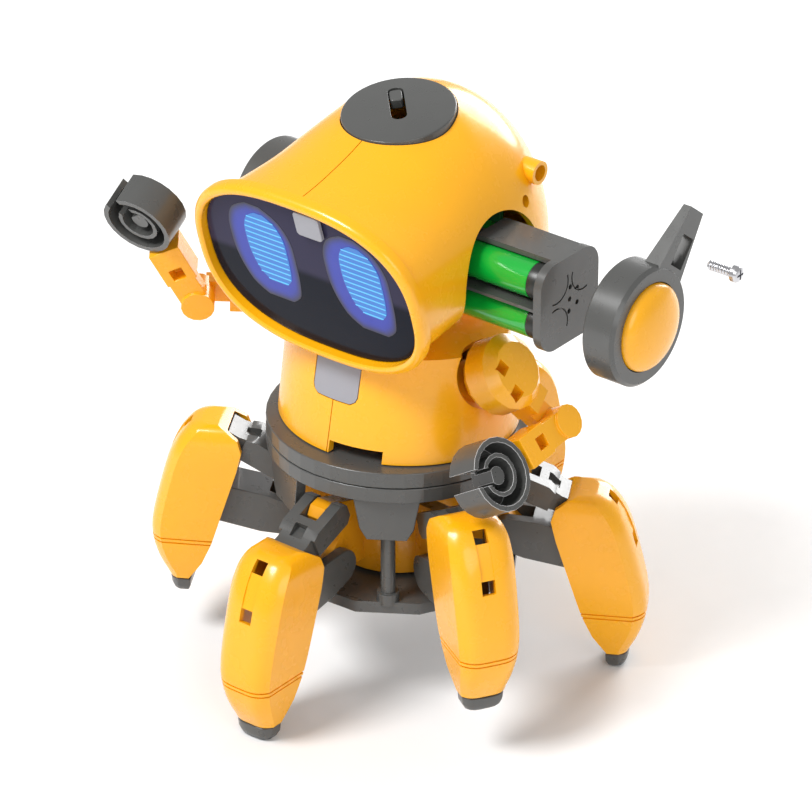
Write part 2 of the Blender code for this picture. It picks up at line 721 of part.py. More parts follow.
def limb(start, end, normal, half, low, high, trim_start, trim_end):
    """A flat bar between two joint centres, trimmed back from each."""
    place = frame(start, end - start, normal)
    length = (end - start).length
    return extrude_between(trim_start, length - trim_end, half, low, high, place)


def extrude_between(first, last, half, low, high, place):
    outline = [(first, -half), (last, -half), (last, half), (first, half)]
    return extrude(outline, low, high, place)


def upper_arm(side):
    shoulder, elbow, _, normal = arm_points(side)
    barrel = [(7.9, 6.4), (10.8, 3.7), (11.0, -3.2), (8.6, -6.4)]
    rings = [[(r * x, r * y, h) for x, y in circle_points(1.0, 16)] for r, h in barrel]
    shape = loft(rings)
    shape.transform(frame(shoulder, elbow - shoulder, shoulder_axis(side)))
    arm = keep(part(side + "_upper_arm", shape, "yellow", shoulder))
    axis = shoulder_axis(side)
    fuse(arm, rod(shoulder - axis * 4.0, shoulder - axis * 14.8, 3.0))
    fuse(arm, limb(shoulder, elbow, normal, 4.2, -4.4, 3.4, 6.0, 9.0))
    fuse(arm, limb(shoulder, elbow, normal, 3.6, -4.4, -0.2, 12.0, 2.0))
    fuse(arm, rod(elbow - normal * 4.4, elbow - normal * 0.2, 4.6))
    cut(arm, rod(elbow - normal * 6.0, elbow + normal * 2.0, 1.92))
    place = frame(shoulder, elbow - shoulder, shoulder_axis(side))
    for a, b in ((-4.6, -3.4), (3.0, -6.2)):
        hole = box((a - 1.8, b - 1.8, 1.5), (a + 1.8, b + 1.8, 9.0))
        hole.transform(place)
        cut(arm, hole)
    return arm


def forearm(side):
    _, elbow, claw, normal = arm_points(side)
    arm = keep(part(side + "_forearm", rod(elbow + normal * 0.1, elbow + normal * 5.4, 4.8), "yellow", elbow))
    fuse(arm, limb(elbow, claw, normal, 4.0, 0.4, 4.6, 2.0, CLAW_R + 1.2))
    fuse(arm, limb(elbow, claw, normal, 4.6, -3.6, 4.6, 9.4, CLAW_R + 1.2))
    fuse(arm, rod(elbow - normal * 3.9, elbow + normal * 1.0, 1.8))
    place = frame(elbow, claw - elbow, normal)
    hole = box((10.6, -1.9, 0.5), (14.4, 1.9, 8.0))
    hole.transform(place)
    return cut(arm, hole)


def claw_part(side):
    _, elbow, claw, _ = arm_points(side)
    place = frame(claw, claw - elbow, ARMS[side][4]) @ Matrix.Rotation(math.radians(CLAW_TURN[side]), 4, "Z")
    cup = [(8.9, -3.4), (8.9, 5.0), (CLAW_R, 5.0), (CLAW_R, -5.0), (0.6, -5.0), (0.6, -3.4)]
    obj = keep(part(side + "_claw", turned(cup, 22, place), "charcoal", claw))
    fuse(obj, turned([(4.9, -4.0), (4.9, 4.2), (6.1, 4.2), (6.1, -4.0)], 16, place))
    hub = rod((0, 0, -4.4), (0, 0, 3.0), 2.6, 16)
    hub.transform(place)
    fuse(obj, hub)
    mouth = extrude([(2.0, -2.4), (14.0, -2.6), (14.0, 2.6), (2.0, 2.4)], -8.0, 8.0, place)
    return cut(obj, mouth)


# ---------------------------------------------------------------- assembly

clear_scene()
PARTS = collection("hexapod_robot")
CUTTERS = collection("cutters", hidden=True)

chassis_ring()
base_plate()
gearbox_housing()
motor()
lift_cam()
for leg_name in LEG_AZIMUTHS:
    upper_link(leg_name)
    lower_link(leg_name)
    leg_shell(leg_name)
    foot_tip(leg_name)
waist_turntable()
torso_half("torso_left", "left")
torso_half("torso_right", "right")
chest_tab()
head_half("head_left", "left")
head_half("head_right", "right")
face_bezel()
face_visor()
eye_lens("eye_lens_left", -1)
eye_lens("eye_lens_right", 1)
sensor_tab()
top_cap()
power_switch()
circuit_board()
ear_ring("ear_ring_right", EAR_OUT, 1)
ear_dome("ear_dome_right", EAR_OUT, 1)
ear_ring("ear_ring_left", EAR_SEAT, -1)
ear_dome("ear_dome_left", EAR_SEAT, -1)
ear_screw()
battery_box()
battery_cells()
for arm_side in ARMS:
    upper_arm(arm_side)
    forearm(arm_side)
    claw_part(arm_side)
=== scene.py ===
"""Looks for the hexapod walking robot kit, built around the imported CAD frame.

Lengths in the shape functions are in millimetres in the model's own frame (front -Y, up +Z) and
go to metres in the row frame through PLACE."""

import json
import math

import bmesh
import bpy
from mathutils import Matrix, Vector


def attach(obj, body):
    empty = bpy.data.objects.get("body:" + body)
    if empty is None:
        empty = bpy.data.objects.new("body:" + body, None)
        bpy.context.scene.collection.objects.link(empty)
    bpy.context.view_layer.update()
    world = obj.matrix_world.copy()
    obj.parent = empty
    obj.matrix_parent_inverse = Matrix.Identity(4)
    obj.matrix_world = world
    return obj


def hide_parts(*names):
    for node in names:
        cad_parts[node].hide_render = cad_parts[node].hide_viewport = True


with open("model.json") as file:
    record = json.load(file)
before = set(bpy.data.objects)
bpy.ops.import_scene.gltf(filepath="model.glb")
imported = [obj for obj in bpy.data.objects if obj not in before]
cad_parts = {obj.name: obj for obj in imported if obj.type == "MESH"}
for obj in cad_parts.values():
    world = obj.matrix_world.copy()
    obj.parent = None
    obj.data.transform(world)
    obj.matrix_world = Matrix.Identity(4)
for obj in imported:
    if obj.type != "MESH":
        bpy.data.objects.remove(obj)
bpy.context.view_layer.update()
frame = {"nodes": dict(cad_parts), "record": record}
MM = 0.001
SHIFT = Vector((-14.468, 0.432, 0.0))
PLACE = Matrix.Scale(MM, 4) @ Matrix.Translation(SHIFT)
SAME = Matrix.Identity(4)
BODY = {n: b for b, ns in frame["record"]["behaviour"]["bodies"].items() for n in ns}
SLOT = {s["node"]: s["material_slot"] for s in frame["record"]["subparts"]}
GAP = 0.3
LEGS = {"leg1": -60.0, "leg2": 0.0, "leg3": 60.0, "leg4": 120.0, "leg5": 180.0, "leg6": -120.0}
RAISED_LEGS = ("leg1", "leg3", "leg5")
LIFT = Vector((-0.865, 0.0, 14.558))
# height, inner radius, outer radius, half width of the leg shell with the foot on the floor
LEG_SECTIONS = (
    (55.6, 52.0, 56.6, 5.0),
    (54.6, 49.4, 59.8, 7.3),
    (52.0, 45.7, 62.4, 8.6),
    (48.5, 44.6, 64.7, 9.1),
    (42.0, 46.2, 67.3, 9.3),
    (26.0, 51.3, 71.3, 9.1),
    (18.0, 53.8, 71.8, 8.6),
    (11.0, 56.9, 70.0, 7.8),
    (5.0, 61.0, 67.0, 6.6),
)
# radius and height of the joint between the upper link and the shell
KNEE = (49.762, 51.632)
# section centre (y, z), forward pitch, half width, height up, height down, roundness
HEAD_SECTIONS = (
    (-36.2, 133.8, 16.85, 37.8, 25.6, 25.6, 2.5),
    (-27.0, 132.5, 13.0, 37.2, 28.5, 22.8, 2.4),
    (-17.0, 131.0, 8.0, 36.5, 33.0, 19.3, 2.25),
    (-8.0, 130.0, 4.0, 36.0, 38.0, 17.6, 2.15),
    (0.0, 129.0, 0.0, 35.8, 42.0, 16.6, 2.1),
    (8.0, 128.0, 0.0, 36.0, 45.0, 15.6, 2.0),
    (20.0, 128.0, 0.0, 34.2, 42.7, 15.5, 2.0),
    (30.0, 128.0, 0.0, 29.4, 36.7, 14.6, 2.0),
    (38.0, 128.0, 0.0, 22.1, 27.6, 12.4, 2.0),
    (43.0, 128.0, 0.0, 14.0, 17.5, 9.0, 2.0),
    (45.6, 128.0, 0.0, 5.4, 6.8, 4.0, 2.0),
)
HEAD_WALL = 2.2
# face centre (y, z), forward pitch, half width, half height, roundness
FACE = (-40.2, 132.6, 16.85, 36.0, 26.0, 2.58)
EYE_X = 16.5
# the lit image's centre on the window, from EYE_X and the face's centre line
EYE_SHIFT = (1.0, 3.6)
# half width, height up and down, and how brightly lit, from the halo's rim inwards
HALO_RINGS = (
    (11.0, 16.4, 16.2, 0.0),
    (10.0, 15.2, 15.0, 0.45),
    (9.2, 14.2, 14.0, 0.85),
    (8.0, 13.0, 12.8, 1.0),
    (4.0, 8.0, 8.0, 1.0),
)
EAR_AXIS = (1.0, 129.5)
EAR_OUT = 74.7
EAR_SEAT = 37.2
DOME_R = 12.4
LEVER_ANGLE = 52.0
SCREW_AXIS = (15.3, 145.4)
SCREW_X = 93.3
PEG_AXIS = (22.6, 151.0)
CAP_PITCH = 10.5
CAP_HEIGHT = 169.4
TORSO_BOTTOM = 76.7
TORSO_TOP = 107.4
TORSO_LOW = (35.2, 32.2)
TORSO_HIGH = (33.6, 26.0)
BOX_END = 58.2
CELL_START = BOX_END - 46.2
CAMERA_AZIMUTH = 38.4
CAMERA_ELEVATION = 28.6
SHOULDERS = {"left": (Vector((-38.6, -3.0, 101.6)), Vector((-0.848, 0.0, 0.53))),
             "right": (Vector((38.6, -3.0, 101.6)), Vector((0.848, 0.0, 0.53)))}

# ---------------------------------------------------------------- materials


def plastic(name, colour, rough, vary=0.06, coat=0.0, bump=0.05, scuff=0.25):
    """Moulded plastic: slight colour drift, uneven gloss, fine texture, and faint scuffs."""
    made = bpy.data.materials.new(name)
    made.use_nodes = True
    tree = made.node_tree
    shader = tree.nodes["Principled BSDF"]
    shader.inputs["Coat Weight"].default_value = coat
    shader.inputs["Coat Roughness"].default_value = 0.08
    at = tree.nodes.new("ShaderNodeTexCoord")

    def noise(scale, detail):
        node = tree.nodes.new("ShaderNodeTexNoise")
        node.inputs["Scale"].default_value = scale
        node.inputs["Detail"].default_value = detail
        tree.links.new(at.outputs["Object"], node.inputs["Vector"])
        return node.outputs["Fac"]

    def spread(source, low, high, out_low, out_high):
        node = tree.nodes.new("ShaderNodeMapRange")
        limits = (("From Min", low), ("From Max", high), ("To Min", out_low), ("To Max", out_high))
        for key, value in limits:
            node.inputs[key].default_value = value
        tree.links.new(source, node.inputs["Value"])
        return node.outputs["Result"]

    broad, fine, marks = noise(38.0, 3.0), noise(2600.0, 2.0), noise(240.0, 3.0)
    mix = tree.nodes.new("ShaderNodeMix")
    mix.name = "drift"
    mix.data_type = "RGBA"
    tree.links.new(spread(broad, 0.3, 0.7, 0.0, 1.0), mix.inputs["Factor"])
    mix.inputs["A"].default_value = (*[c * (1.0 - vary) for c in colour], 1.0)
    mix.inputs["B"].default_value = (*[min(1.0, c * (1.0 + vary)) for c in colour], 1.0)
    tree.links.new(mix.outputs["Result"], shader.inputs["Base Color"])
    tree.links.new(spread(marks, 0.35, 0.75, rough, rough * (1.0 + scuff)), shader.inputs["Roughness"])
    grain = tree.nodes.new("ShaderNodeBump")
    grain.inputs["Strength"].default_value = bump
    grain.inputs["Distance"].default_value = 0.000008
    tree.links.new(fine, grain.inputs["Height"])
    tree.links.new(grain.outputs["Normal"], shader.inputs["Normal"])
    return made


LOOKS = {
    "yellow": plastic("yellow", (0.95, 0.43, 0.004), 0.24, 0.02, 0.25),
    "amber": plastic("amber", (0.86, 0.36, 0.008), 0.26, 0.04, 0.2),
    "charcoal": plastic("charcoal", (0.078, 0.079, 0.076), 0.27, 0.05, 0.2),
    "grey": plastic("grey", (0.30, 0.30, 0.33), 0.42, 0.05),
    "visor": plastic("visor", (0.006, 0.008, 0.016), 0.10, 0.10, 0.0, 0.01),
    "lens": plastic("lens", (0.03, 0.22, 0.85), 0.25, 0.05),
    "cell": plastic("cell", (0.004, 0.36, 0.035), 0.14, 0.10, 0.5),
    "board": plastic("board", (0.02, 0.16, 0.06), 0.5, 0.1),
    "steel": plastic("steel", (0.62, 0.62, 0.64), 0.20, 0.04, 0.0, 0.08),
}
LOOKS["steel"].node_tree.nodes["Principled BSDF"].inputs["Metallic"].default_value = 1.0
# painted highlight: light grey for bevel faces, standing in for light caught along the claws' rims
EDGE_HIGHLIGHT_PAINT = plastic("painted_edge_highlight", (0.80, 0.80, 0.80), 0.3, 0.03)
CELL_END = plastic("cell_end", (0.02, 0.022, 0.02), 0.3, 0.1)


def paint_visor_reflection(made):
    """Dark window with a painted reflection: its colour runs from a painted slate reflection at the top to
    near black, with a soft boundary.
    """
    tree = made.node_tree
    shader = tree.nodes["Principled BSDF"]
    shader.inputs["Specular IOR Level"].default_value = 0.06
    drift = tree.nodes["drift"]
    at = tree.nodes.new("ShaderNodeTexCoord")
    split = tree.nodes.new("ShaderNodeSeparateXYZ")
    tree.links.new(at.outputs["Object"], split.inputs["Vector"])
    # height mask of the painted reflection: the upper part of the window
    ramp = tree.nodes.new("ShaderNodeMapRange")
    ramp.interpolation_type = "SMOOTHSTEP"
    for key, value in (("From Min", 0.1325), ("From Max", 0.1355), ("To Min", 0.0), ("To Max", 1.0)):
        ramp.inputs[key].default_value = value
    tree.links.new(split.outputs["Z"], ramp.inputs["Value"])
    mix = tree.nodes.new("ShaderNodeMix")
    mix.data_type = "RGBA"
    tree.links.new(ramp.outputs["Result"], mix.inputs["Factor"])
    tree.links.new(drift.outputs["Result"], mix.inputs["A"])
    # painted reflection: slate colour above the boundary stands in for the studio mirrored in the upper
    # window
    mix.inputs["B"].default_value = (0.036, 0.033, 0.066, 1.0)
    tree.links.new(mix.outputs["Result"], shader.inputs["Base Color"])


# paints a reflection into the top of the visor's colour
paint_visor_reflection(LOOKS["visor"])


def glow(name, colour, strength, fade=False):
    """A lit light guide behind the visor; with fade, its light falls off towards the rim."""
    made = plastic(name, colour, 0.3)
    tree = made.node_tree
    shader = tree.nodes["Principled BSDF"]
    shader.inputs["Emission Color"].default_value = (*colour, 1.0)
    shader.inputs["Emission Strength"].default_value = strength
    if fade:
        amount = tree.nodes.new("ShaderNodeAttribute")
        amount.attribute_name = "lit"
        mix = tree.nodes.new("ShaderNodeMix")
        mix.data_type = "RGBA"
        tree.links.new(amount.outputs["Fac"], mix.inputs["Factor"])
        mix.inputs["A"].default_value = (0.012, 0.012, 0.028, 1.0)
        tree.links.new(tree.nodes["drift"].outputs["Result"], mix.inputs["B"])
        tree.links.new(mix.outputs["Result"], shader.inputs["Base Color"])
        power = tree.nodes.new("ShaderNodeMath")
        power.operation = "MULTIPLY"
        power.inputs[1].default_value = strength
        tree.links.new(amount.outputs["Fac"], power.inputs[0])
        tree.links.new(power.outputs["Value"], shader.inputs["Emission Strength"])
    return made


HALO = glow("eye_halo", (0.008, 0.022, 0.26), 0.42, True)
CYAN = glow("eye_cyan", (0.018, 0.13, 0.42), 0.42)
LINE = glow("eye_line", (0.08, 0.38, 0.70), 0.50)

# ---------------------------------------------------------------- mesh tools


def loft(rings):
    """A closed skin through rings of equal point count, capped at both ends."""
    shape = bmesh.new()
    rows = [[shape.verts.new(point) for point in ring] for ring in rings]
    count = len(rows[0])
    for row, following in zip(rows, rows[1:]):
        for i in range(count):
            j = (i + 1) % count
            shape.faces.new((row[i], row[j], following[j], following[i]))
    shape.faces.new(rows[0])
    shape.faces.new(list(reversed(rows[-1])))
    return shape


def band(rings):
    """A closed skin through rings whose last ring joins back to the first."""
    shape = bmesh.new()
    rows = [[shape.verts.new(point) for point in ring] for ring in rings]
    count = len(rows[0])
    for row, following in zip(rows, rows[1:] + rows[:1]):
        for i in range(count):
            j = (i + 1) % count
            shape.faces.new((row[i], row[j], following[j], following[i]))
    return shape


def moved(shape, matrix):
    shape.transform(matrix)
    return shape


def extrude(outline, low, high, place=SAME):
    rings = [[(a, b, z) for a, b in outline] for z in (low, high)]
    return moved(loft(rings), place)


def turned(profile, sides=96, place=SAME):
    angles = [2 * math.pi * i / sides for i in range(sides)]
    hollow = min(radius for radius, _ in profile) > 0.03
    rings = [[(r * math.cos(a), r * math.sin(a), z) for a in angles] for r, z in profile]
    return moved(band(rings) if hollow else loft(rings), place)


def box(low, high, place=SAME):
    shape = bmesh.new()
    bmesh.ops.create_cube(shape, size=1.0)
    bmesh.ops.scale(shape, verts=shape.verts, vec=[high[i] - low[i] for i in range(3)])
    bmesh.ops.translate(shape, verts=shape.verts, vec=[(high[i] + low[i]) / 2 for i in range(3)])
    return moved(shape, place)


def rod(start, end, radius, sides=48):
    run = Vector(end) - Vector(start)
    turn = Vector((0.0, 0.0, 1.0)).rotation_difference(run).to_matrix().to_4x4()
    place = Matrix.Translation(Vector(start)) @ turn
    return extrude(circle(radius, sides), 0.0, run.length, place)


def ball(centre, radius, sides=64):
    shape = bmesh.new()
    bmesh.ops.create_uvsphere(shape, u_segments=sides, v_segments=sides // 2, radius=radius)
    return moved(shape, Matrix.Translation(centre))


def axes(centre, across, along):
    """Local X is `across`, local Z is `along`."""
    z_axis = Vector(along).normalized()
    x_axis = (Vector(across) - z_axis * Vector(across).dot(z_axis)).normalized()
    turn = Matrix((x_axis, z_axis.cross(x_axis), z_axis)).transposed().to_4x4()
    return Matrix.Translation(Vector(centre)) @ turn


def circle(radius, sides, centre=(0.0, 0.0), start=0.0, sweep=360.0):
    count = sides if sweep == 360.0 else sides + 1
    angles = [math.radians(start + sweep / sides * i) for i in range(count)]
    return [(centre[0] + radius * math.cos(a), centre[1] + radius * math.sin(a)) for a in angles]


def rounded(half_x, half_y, corner, steps=8):
    points = []
    for index, (sx, sy) in enumerate(((1, 1), (-1, 1), (-1, -1), (1, -1))):
        centre = (sx * (half_x - corner), sy * (half_y - corner))
        points += circle(corner, steps, centre, index * 90.0, 90.0)
    return points


def oval(half_x, up, down, power, sides=112):
    points = []
    for i in range(sides):
        angle = 2 * math.pi * i / sides
        c, s = math.cos(angle), math.sin(angle)
        height = up if s >= 0 else down
        points.append((half_x * math.copysign(abs(c) ** (2 / power), c),
                       height * math.copysign(abs(s) ** (2 / power), s)))
    return points


def spline(rows, steps):
    """Rows in between by Catmull-Rom."""
    out = []
    for i in range(len(rows) - 1):
        p = [rows[max(i - 1, 0)], rows[i], rows[i + 1], rows[min(i + 2, len(rows) - 1)]]
        for k in range(steps):
            t = k / steps
            out.append(tuple(0.5 * (2 * b + (c - a) * t + (2 * a - 5 * b + 4 * c - d) * t * t
                                    + (3 * b - a - 3 * c + d) * t ** 3) for a, b, c, d in zip(*p)))
    return out + [tuple(rows[-1])]


def carve(shape, *steps):
    """Boolean steps, each ("cut" | "add" | "meet", other shape), in millimetres."""
    made = []
    operations = {"cut": "DIFFERENCE", "add": "UNION", "meet": "INTERSECT"}

    def temporary(source):
        bmesh.ops.recalc_face_normals(source, faces=source.faces)
        mesh = bpy.data.meshes.new("temporary")
        source.to_mesh(mesh)
        source.free()
        obj = bpy.data.objects.new("temporary", mesh)
        bpy.context.scene.collection.objects.link(obj)
        made.append(obj)
        return obj

    base = temporary(shape)
    for kind, other in steps:
        step = base.modifiers.new(kind, "BOOLEAN")
        step.operation = operations[kind]
        step.solver = "EXACT"
        step.object = temporary(other)
    result = bmesh.new()
    result.from_object(base, bpy.context.evaluated_depsgraph_get())
    for obj in made:
        mesh = obj.data
        bpy.data.objects.remove(obj)
        bpy.data.meshes.remove(mesh)
    bmesh.ops.remove_doubles(result, verts=result.verts, dist=0.002)
    bmesh.ops.dissolve_limit(result, angle_limit=math.radians(0.5), verts=result.verts, edges=result.edges)
    return result


def piece(name, shape, look, body, slot, *nodes, matrix=PLACE, smooth=38.0, width=0.28,
          edge_look=None):
    """A shown piece from a bmesh, riding on a body and standing for CAD nodes."""
    shape.transform(matrix)
    bmesh.ops.recalc_face_normals(shape, faces=shape.faces)
    soften(shape, smooth)
    mesh = bpy.data.meshes.new(name)
    shape.to_mesh(mesh)
    shape.free()
    mesh.materials.append(look)
    obj = bpy.data.objects.new(name, mesh)
    bpy.context.scene.collection.objects.link(obj)
    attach(obj, body)
    if nodes:
        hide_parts(*nodes)
    if width:
        bevel(obj, width, edge_look)
    return obj


def soften(shape, angle):
    limit = math.radians(angle)
    for face in shape.faces:
        face.smooth = True
    for edge in shape.edges:
        edge.smooth = not (edge.is_manifold and edge.calc_face_angle(0.0) > limit)


def bevel(obj, width, edge_look=None):
    """Rounded moulded edges, in their own look where one is given."""
    step = obj.modifiers.new("edge", "BEVEL")
    step.width = width * MM
    step.segments = 2
    step.limit_method = "ANGLE"
    step.angle_limit = math.radians(32.0)
    step.miter_outer = "MITER_ARC"
    # a given edge look paints the bevel faces; the claws use it as a painted edge highlight
    if edge_look:
        obj.data.materials.append(edge_look)
        step.material = 1
    weigh = obj.modifiers.new("normals", "WEIGHTED_NORMAL")
    weigh.keep_sharp = True


def remade(node, shape, smooth=38.0, width=0.28):
    """A finer shape that stands for one CAD node."""
    return piece(node + "_look", shape, LOOKS[SLOT[node]], BODY[node], SLOT[node], node,
                 smooth=smooth, width=width)


def finished(node, width=0.28, smooth=38.0, edge_look=None):
    """The CAD node's own shape with welded faces and softened moulded edges."""
    shape = bmesh.new()
    shape.from_mesh(frame["nodes"][node].data)
    bmesh.ops.remove_doubles(shape, verts=shape.verts, dist=2e-6)
    bmesh.ops.dissolve_limit(shape, angle_limit=math.radians(0.6), verts=shape.verts, edges=shape.edges)
    piece(node + "_look", shape, LOOKS[SLOT[node]], BODY[node], SLOT[node], node,
          matrix=SAME, smooth=smooth, width=width, edge_look=edge_look)


# ---------------------------------------------------------------- legs


def leg_ring(height, inner, outer, half, grow=0.0):
    """Flat side plates with a hard crease into a crowned front."""
    inner, outer, half = inner - grow, outer + grow, half + grow
    crown = min(3.4, 0.42 * (outer - inner))
    front = [half * (1 - 2 * i / 16) for i in range(17)]
    ring = [(inner, half, height)]
    ring += [(outer - crown * abs(t / half) ** 4.2, t, height) for t in front]
    return ring + [(inner, -half, height)]


def leg_section(height):
    """The shell's section at a height, in a straight line between the ones given."""
    for high, low in zip(LEG_SECTIONS, LEG_SECTIONS[1:]):
        if high[0] >= height >= low[0]:
            t = (high[0] - height) / (high[0] - low[0])
            return [a + (b - a) * t for a, b in zip(high, low)]
    return LEG_SECTIONS[-1]


def leg_shell(leg):
    """Shell with its hollow, knee sockets, two windows, the strip between them and two grooves."""
    fine = [(z, leg_section(z)[1], outer, half) for z, _, outer, half in spline(LEG_SECTIONS, 3)]
    skin = loft([leg_ring(*section) for section in fine])
    hollow = [(54.3, 40.0, 57.4, 5.8), (53.2, 40.0, 59.8, 6.4)]
    hollow += [(z, inner - 4.0, outer - 1.8, half - 1.6) for z, inner, outer, half in LEG_SECTIONS[2:-1]]
    hollow.append((3.0, 58.0, 65.0, 4.9))
    r, z = KNEE
    steps = [("cut", loft([leg_ring(*section) for section in hollow])),
             ("cut", rod((r, -7.2, z), (r, 7.2, z), 2.12))]
    for height, lean, radius in ((53.0, 38.0, 61.6), (40.0, 16.0, 67.6)):
        place = Matrix.Translation((radius, 0.0, height)) @ Matrix.Rotation(math.radians(-lean), 4, "Y")
        steps.append(("cut", box((-6.0, -2.0, -2.0), (6.0, 2.0, 2.0), place)))
    strip = []
    for height in (51.6, 50.2, 48.5, 46.0, 44.0, 42.0, 41.2):
        outer = leg_section(height)[2]
        strip.append([(outer - 0.28, -1.95, height), (outer + 3.0, -1.95, height),
                      (outer + 3.0, 1.95, height), (outer - 0.28, 1.95, height)])
    steps.append(("cut", loft(strip)))
    for height in (18.9, 17.6):
        top, bottom = height + 0.25, height - 0.25
        corners = ((top, 2.0), (bottom, 2.0), (bottom, -0.4), (top, -0.4))
        rings = [leg_ring(h, *leg_section(h)[1:], grow=grow) for h, grow in corners]
        steps.append(("cut", band(rings)))
    shape = carve(skin, *steps)
    lift = LIFT if leg in RAISED_LEGS else Vector()
    shape.transform(Matrix.Rotation(math.radians(LEGS[leg] - 90.0), 4, "Z") @ Matrix.Translation(lift))
    remade(leg + "_shell", shape, smooth=24.0, width=0.2)


def upper_link(leg):
    """The CAD link with its trunnion ends stopped short inside the shell's side plates."""
    node = leg + "_upper_link"
    shape = bmesh.new()
    shape.from_mesh(frame["nodes"][node].data)
    shape.transform(PLACE.inverted())
    spin = Matrix.Rotation(math.radians(LEGS[leg] - 90.0), 4, "Z")
    between_plates = box((20.0, -7.0, 20.0), (70.0, 7.0, 100.0), spin)
    remade(node, carve(shape, ("meet", between_plates)), width=0.22)


# ---------------------------------------------------------------- head


def head_ring(section, grow):
    y, z, pitch, half, up, down, power = section
    lean = math.radians(pitch)
    return [(across, y - height * math.sin(lean), z + height * math.cos(lean))
            for across, height in oval(half + grow, up + grow, down + grow, power)]


def cap_frame():
    lean = math.radians(CAP_PITCH)
    return axes((0.0, 0.0, CAP_HEIGHT), (1.0, 0.0, 0.0), (0.0, -math.sin(lean), math.cos(lean)))


def head_half(side):
    away = -1.0 if side == "right" else 1.0
    fine = spline(HEAD_SECTIONS, 4)
    inside = [head_ring(section, -HEAD_WALL) for section in fine[:-4]]
    bowl = loft(inside[::-1] + [head_ring(section, 0.0) for section in fine])
    low_x, high_x = sorted((away * 60.0, -away * GAP / 2))
    y, z = EAR_AXIS
    steps = [("cut", box((low_x, -70.0, 90.0), (high_x, 70.0, 190.0))),
             ("cut", extrude(circle(16.3, 96), -3.2, 30.0, cap_frame())),
             ("cut", rod((0, 0, 100.0), (0, 0, 118.0), 18.4, 80))]
    if side == "right":
        steps += [("cut", rod((20.0, y, z), (50.0, y, z), 17.8, 96)),
                  ("add", rod((26.0, *PEG_AXIS), (31.6, *PEG_AXIS), 3.4)),
                  ("cut", rod((20.0, *PEG_AXIS), (40.0, *PEG_AXIS), 2.3)),
                  ("cut", rod((20.0, *SCREW_AXIS), (40.0, *SCREW_AXIS), 1.65))]
    remade("head_" + side, carve(bowl, *steps), width=0.16)


def face_ring(depth, grow):
    y, z, pitch, half_x, half_z, power = FACE
    lean = math.radians(pitch)
    centre = Vector((0.0, y + depth * math.cos(lean), z + depth * math.sin(lean)))
    return [tuple(centre + Vector((a, -h * math.sin(lean), h * math.cos(lean))))
            for a, h in oval(half_x + grow, half_z + grow, half_z + grow, power)]


def face_frame():
    lean = math.radians(FACE[2])
    return axes((0.0, FACE[0], FACE[1]), (1.0, 0.0, 0.0), (0.0, -math.cos(lean), -math.sin(lean)))


def eye_outline(half_x, up, down, steps=28):
    """Lamp shape: round top, nearly straight right side, lower left cut away."""
    right, left = [], []
    for i in range(steps + 1):
        t = i / steps
        h = -down + (up + down) * t
        end_round = (max(0.0, 1.0 - min(t, 1.0 - t) / 0.13)) ** 2
        top = max(0.0, (t - 0.60) / 0.40)
        low = max(0.0, 1.0 - t / 0.55)
        right.append((half_x * (1.0 - 0.62 * top ** 2.2 - 0.20 * low ** 3 - 0.22 * end_round), h))
        left.append((-half_x * (1.0 - 0.50 * top ** 2.6 - 0.58 * low ** 2.2 - 0.22 * end_round), h))
    return right + left[::-1]


def eye(side):
    """Lit eye on the window's face: a fading halo, a brighter block, and light lines across it."""
    across = -EYE_X if side == "left" else EYE_X
    place = face_frame() @ Matrix.Translation((across + EYE_SHIFT[0], EYE_SHIFT[1], 0.0))
    node = "eye_lens_" + side
    halo = bmesh.new()
    lit = halo.verts.layers.float.new("lit")
    rows = [[halo.verts.new((x, y, -2.45)) for x, y in eye_outline(*HALO_RINGS[0][:3])]]
    for half_x, up, down, amount in HALO_RINGS:
        row = [halo.verts.new((x, y, -2.33)) for x, y in eye_outline(half_x, up, down)]
        for vert in row:
            vert[lit] = amount
        rows.append(row)
    for row, following in zip(rows, rows[1:]):
        for i in range(len(row)):
            j = (i + 1) % len(row)
            halo.faces.new((row[i], row[j], following[j], following[i]))
    halo.faces.new(rows[0])
    halo.faces.new(rows[-1][::-1])
    piece(node + "_look", moved(halo, place), HALO, BODY[node], SLOT[node], node, width=0.0)
    block = [(x + 1.5, y + 1.6) for x, y in eye_outline(6.9, 12.0, 12.0)]
    lit_block = extrude(block, -2.36, -2.24, place)
    piece(node + "_block", lit_block, CYAN, BODY[node], SLOT[node], width=0.0)
    lines = bmesh.new()
    for k in range(12):
        h = 11.6 - 1.95 * k
        near = [x for x, y in block if abs(y - h) < 1.0]
        middle, half = (min(near) + max(near)) / 2, (max(near) - min(near)) / 2 - 0.3
        at = place @ Matrix.Translation((middle, h, 0.0))
        bar = extrude(rounded(half, 0.20, 0.18, 3), -2.25, -2.17, at)
        mesh = bpy.data.meshes.new("line")
        bar.to_mesh(mesh)
        bar.free()
        lines.from_mesh(mesh)
        bpy.data.meshes.remove(mesh)
    piece(node + "_lines", lines, LINE, BODY[node], SLOT[node], width=0.0)


def face():
    section = [(0.4, 0.0), (0.0, 0.35), (-0.2, 0.9), (-0.05, 1.5), (0.3, 2.1), (0.9, 2.55), (1.7, 2.8),
               (3.9, 2.6), (3.9, 0.0)]
    remade("face_bezel", band([face_ring(depth, grow) for depth, grow in section]), width=0.0)
    window = ((2.4, -1.4), (2.46, -0.7), (2.6, -GAP), (3.9, -GAP))
    remade("face_visor", loft([face_ring(depth, grow) for depth, grow in window]), width=0.0)
    for side in ("left", "right"):
        eye(side)
    at = face_frame() @ Matrix.Translation((4.8, 20.6, 0.0))
    remade("sensor_tab", extrude(rounded(4.4, 4.0, 1.2), -2.1, -0.9, at), width=0.2)


